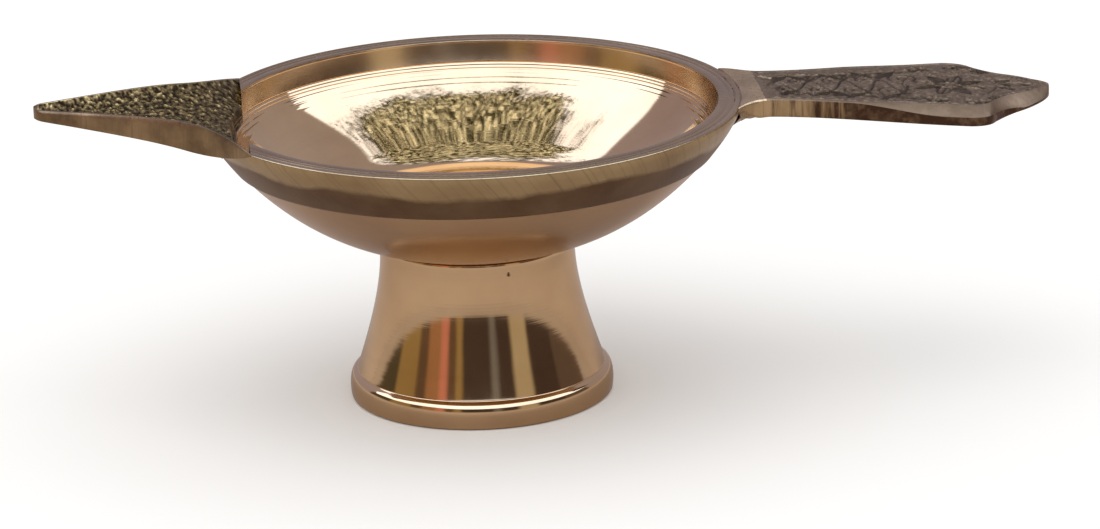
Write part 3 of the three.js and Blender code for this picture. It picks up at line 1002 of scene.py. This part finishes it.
def handle_ring(x):
    half = interpolate(x, HANDLE_OUTLINE)
    bevel = min(bevel_at(x), 0.45 * half)
    rim_pull = 1 - smooth(BOWL_R - 2.5, BOWL_R + 9, x)
    points = []

    def put(y, sink):
        if sink > CUT_DEPTH and x < BOWL_R + ROOT_FLARE:
            sink = lerp(sink, ROOT_EDGE, 0.9 * smooth(STEM_W, STEM_W + ROOT_FLARE, abs(y)))
        along_rim = math.sqrt(max(0, BOWL_R ** 2 - y * y))
        place = x + (along_rim - HANDLE_OUTLINE[0][0]) * rim_pull
        points.append((place, y, handle_top(place, place - along_rim) - sink))

    for i in range(TOP_COLUMNS):
        y = (2 * i / (TOP_COLUMNS - 1) - 1) * (half - bevel)
        inside = smooth(0, 0.5, half - bevel - abs(y) - 0.2) * smooth(BOWL_R + 2, BOWL_R + 3.4, x)
        put(y, CUT_DEPTH * inside * (1 - engraved_height(x, y)))
    thickness = HANDLE_T - 1.3 * smooth(HEAD + 4, HANDLE_X, x)  # it thins out to its nose
    edge = edge_points(half, bevel, thickness)
    for y, sink in edge:
        put(y, sink)
    for i in range(1, UNDER_COLUMNS):
        put((1 - 2 * i / UNDER_COLUMNS) * edge[-1][0], thickness)
    for y, sink in reversed(edge):
        put(-y, sink)
    return points


def edge_points(half, bevel, thickness):
    corner = min(0.35, 0.3 * half)
    drop = min(bevel * 0.8, thickness - corner - 0.15)
    side = [(half, lerp(drop, thickness - corner, i / 5)) for i in range(1, 6)]
    return [(half - bevel * 0.5, drop * 0.45), (half - 0.02, drop), *side,
            (half - 0.3 * corner, thickness - 0.3 * corner), (half - corner, thickness)]


def handle_rings(rows=260):
    start, end = HANDLE_OUTLINE[0][0], HANDLE_X - 0.01
    shares = [1 - (1 - row / rows) ** 1.25 for row in range(rows + 1)]
    return [handle_ring(lerp(start, end, share)) for share in shares]


# %% Handle and its finishes
SIDE_FINISH, ENGRAVED_FINISH, BEVEL_FINISH = range(3)
handle = skinned("engraved_handle", handle_rings())
finish_piece(handle, "bowl", "handle", "antique_brass",
             filed_brass("handle_side_finish", (0.62, 0.45, 0.25), (0.40, 0.28, 0.15), 0.3,
                         dark_towards_head=(49, 57, (0.085, 0.046, 0.028))),
             engraved_brass("handle_top_finish"),
             filed_brass("handle_bevel_finish", (0.27, 0.185, 0.11), (0.16, 0.105, 0.062), 0.42))
write_relief(handle, engraved_height)


def is_engraved(x, y, z, normal):
    half = interpolate(x, HANDLE_OUTLINE)
    return (normal.z > 0.3 and abs(y) < half - bevel_at(x) - 0.1
            and BOWL_R + 3.2 < x < HANDLE_X - 1.9 and z > handle_top(x, x - BOWL_R) - 0.8)


def handle_finish(x, y, z, normal):
    if is_engraved(x, y, z, normal):
        return ENGRAVED_FINISH
    return BEVEL_FINISH if normal.z > 0.3 and x > BOWL_R + 3 else SIDE_FINISH


paint(handle, handle_finish)

# %% [markdown]
# ## The brazed fillets
#
# Under the spout and under the handle, braze metal fills the corner against the rim band. Each
# fillet is a hollow-faced wedge that runs round the band and thins out at both ends, so its
# sections are skinned round the axis.


# %% Fillets
def fillet_rings(facing, half_width, root, meeting, toe, steps=40):
    """facing is 0 for the handle's side and pi for the spout's. Points are (radius, height)."""
    rings = []
    reach = math.asin(half_width / toe[0])
    face = bezier(toe, (toe[0] - 2.2, toe[1] - 0.25), (root[0] + 1.7, root[1] + 1.5), root, 12)
    section = [root, (BAND_R + 2.1, lerp(root[1], meeting[1], 0.35)),
               (BOWL_R - 0.55, lerp(root[1], meeting[1], 0.75)), meeting, *face[:-1]]
    for step in range(steps + 1):
        share = 2 * step / steps - 1
        size = max(0.02, 1 - abs(share) ** 3)
        angle = facing + share * reach
        ring = []
        for radius, height in section:
            radius = lerp(meeting[0], radius, size)
            height = lerp(meeting[1], height, size)
            ring.append((radius * math.cos(angle), radius * math.sin(angle), height))
        rings.append(ring)
    return rings


def spout_under(reach):
    level = spout_level(reach)
    return level["ridge"] - level["keel"]


ROOT, MEETING_R, TOE_R = (BAND_R + 1.5, BAND_Z + 1.7), BOWL_R - 0.2, BOWL_R + 4.4
handle_under = RIM_Z + HANDLE_RISE - HANDLE_T
FILLETS = (("handle_fillet", "handle_braze_fillet", 0, STEM_W + 1.2,
            handle_under, handle_under - 0.3),
           ("spout_fillet", "spout_braze_fillet", math.pi, THROAT_W - 1.4,
            spout_under(BOWL_R), spout_under(TOE_R)))
braze = filed_brass("braze_finish", (0.62, 0.48, 0.34), (0.5, 0.37, 0.25), 0.22)
for name, node, facing, half_width, meeting_z, toe_z in FILLETS:
    rings = fillet_rings(facing, half_width, ROOT, (MEETING_R, meeting_z), (TOE_R, toe_z))
    finish_piece(skinned(name, rings), "bowl", node, "braze", braze)

# %% [markdown]
# ## Floor and light
#
# Polished brass is a mirror, so what it shows is its surroundings. A single white dome would
# make it look like yellow plastic. This dome has a bright top, a low mauve wall behind the
# lamp, low upright stripes in front, and a dappled patch of leaves above the wall. Its nodes
# read only the direction, and only mirrors see them: to the camera, and for the light on the
# floor, the dome is plain and pale. Mirrors also see a darker floor, as in a large room.


# %% The soft dome
def plain_but_in_mirrors(tree, plain, mirrored):
    """One shader for what is reflected in the metal and another for everything else."""
    reflected = add_node(tree, "ShaderNodeLightPath").outputs["Is Glossy Ray"]
    return add_node(tree, "ShaderNodeMixShader", {0: reflected, 1: plain, 2: mirrored}).outputs[0]


def below(tree, value, limit, softness):
    """1 where the value is under the limit, 0 above it, with a soft edge."""
    return maths(tree, "DIVIDE", maths(tree, "SUBTRACT", limit, value), softness, clamp=True)


PLAIN_DOME = (1.06, 1.055, 1.05, 1)
SKY = (1.75, 2.0, 2.7)
WALL_TONE, LIT_WALL = (0.38, 0.34, 0.43), (0.40, 0.37, 0.43)
GROUND_TONE = (0.49, 0.43, 0.42)
LEAF_DARK, LEAF_MID, LEAF_LIGHT = (0.03, 0.03, 0.012), (0.085, 0.072, 0.034), (1.5, 1.6, 1.4)
DARK, GOLD, BROWN = (0.07, 0.05, 0.045), (0.34, 0.24, 0.11), (0.14, 0.09, 0.06)
ROSE, AMBER, SAND = (0.62, 0.25, 0.20), (0.38, 0.20, 0.11), (0.50, 0.44, 0.34)
OLIVE, STONE, UMBER = (0.09, 0.075, 0.05), (0.2, 0.2, 0.22), (0.13, 0.095, 0.085)
STRIPES = ((0.0, DARK), (0.064, GOLD), (0.083, BROWN), (0.106, ROSE), (0.128, AMBER),
           (0.165, BROWN), (0.194, GOLD), (0.256, OLIVE), (0.33, WALL_TONE), (0.50, LIT_WALL),
           (0.72, UMBER), (0.80, DARK), (0.875, SAND), (0.925, DARK), (0.967, STONE),
           (0.986, DARK))
WALL_TOPS = ((0.25, 0.37), (0.32, 0.37), (0.34, 0.5), (0.37, 0.6), (0.41, 0.66), (0.5, 0.69),
             (0.575, 0.75), (0.635, 0.80), (0.664, 0.71), (0.69, 0.62), (0.72, 0.42), (0.74, 0.37))
GROUND_TOP, SOFT_EDGE, CROWN, CROWN_EDGE = 0.07, 0.02, 1.83, 0.1


def soft_stops(stripes, blur=0.005):
    """Two ramp stops at each border, so that neighbouring stripes run into each other."""
    stops = [stripes[0]]
    for (_, before), (border, after) in zip(stripes, stripes[1:]):
        stops += [(border - blur, before), (border + blur, after)]
    return stops


# %% The world and its directions
world = bpy.data.worlds.new("surround")
bpy.context.scene.world = world
world.use_nodes = True
dome = world.node_tree
direction = add_node(dome, "ShaderNodeTexCoord").outputs["Generated"]
east, north, height = add_node(dome, "ShaderNodeSeparateXYZ", {"Vector": direction}).outputs
heading = maths(dome, "ARCTAN2", east, north)
heading_share = maths(dome, "ADD", maths(dome, "DIVIDE", heading, 2 * math.pi), 0.5)
jitter = scale_add(dome, noise_at(dome, direction, 9, 3), 0.01, -0.005)
stripes = ramp(dome, maths(dome, "ADD", heading_share, jitter), soft_stops(STRIPES))
wall_top = ramp(dome, heading_share, WALL_TOPS)

# %% Leaves, wall and ground
inputs = {"Vector": direction, "Location": (-0.065, -0.62, 0), "Scale": (2.17, 2.22, 0)}
spread = add_node(dome, "ShaderNodeMapping", inputs)
reach = add_node(dome, "ShaderNodeVectorMath", {0: spread.outputs[0]},
                 operation="LENGTH").outputs["Value"]
branches = add_node(dome, "ShaderNodeMapping", {"Vector": direction, "Scale": (58, 100, 60)})
leaves = noise_at(dome, branches.outputs[0], 1, 3, 0.6)
lobes = noise_at(dome, direction, 5, 2)
ragged = scale_add(dome, leaves, 0.9, scale_add(dome, lobes, 0.8, reach))
crown = below(dome, ragged, CROWN, CROWN_EDGE)
leaf_tone = ramp(dome, leaves, ((0.46, LEAF_DARK), (0.53, LEAF_MID), (0.57, LEAF_LIGHT)))
tone = mix(dome, crown, SKY, leaf_tone)
tone = mix(dome, below(dome, height, wall_top, SOFT_EDGE), tone, stripes)
tone = mix(dome, below(dome, height, GROUND_TOP, SOFT_EDGE), tone, GROUND_TONE)
mirrored = add_node(dome, "ShaderNodeBackground", {"Color": tone}).outputs[0]
plain = add_node(dome, "ShaderNodeBackground", {"Color": PLAIN_DOME}).outputs[0]
dome_shader = plain_but_in_mirrors(dome, plain, mirrored)
dome.links.new(dome_shader, dome.nodes["World Output"].inputs["Surface"])
print("dome made of", len(dome.nodes), "nodes")

# %% [markdown]
# ### The floor and one lamp
#
# The floor is matt and almost white. One broad light above it, slightly in front, gives the lamp
# its shape and a soft shadow. Mirrors don't see it, because its sharp edges would show.

# %% The pale floor
PALE, DIM = (0.93, 0.925, 0.92, 1), (0.46, 0.40, 0.385, 1)
floor = start_primitive("floor", bpy.ops.mesh.primitive_plane_add, size=12)
floor_finish = bpy.data.materials.new("floor_finish")
floor_finish.use_nodes = True
paper = floor_finish.node_tree
pale = add_node(paper, "ShaderNodeBsdfDiffuse", {"Color": PALE}).outputs[0]
dim = add_node(paper, "ShaderNodeBsdfDiffuse", {"Color": DIM}).outputs[0]
paper_shader = plain_but_in_mirrors(paper, pale, dim)
paper.links.new(paper_shader, paper.nodes["Material Output"].inputs["Surface"])
floor.data.materials.append(floor_finish)
print("floor", tuple(floor.dimensions))


# %% The light
LIGHT_PLACE, LAMP_MIDDLE = Vector((-0.3, -0.4, 1.5)), Vector((0, 0, 0.03))
bpy.ops.object.light_add(type="AREA", location=LIGHT_PLACE)
light = bpy.context.object
light.name = "main_light"
light.data.shape = "RECTANGLE"
light.data.size, light.data.size_y = 1.6, 1.2
light.data.energy = 4
light.data.color = (1.0, 0.98, 0.95)
light.visible_glossy = False
light.rotation_euler = (LAMP_MIDDLE - LIGHT_PLACE).to_track_quat("-Z", "Y").to_euler()
bpy.context.scene.view_settings.view_transform = "Standard"
print("light at", tuple(round(v, 2) for v in light.location))
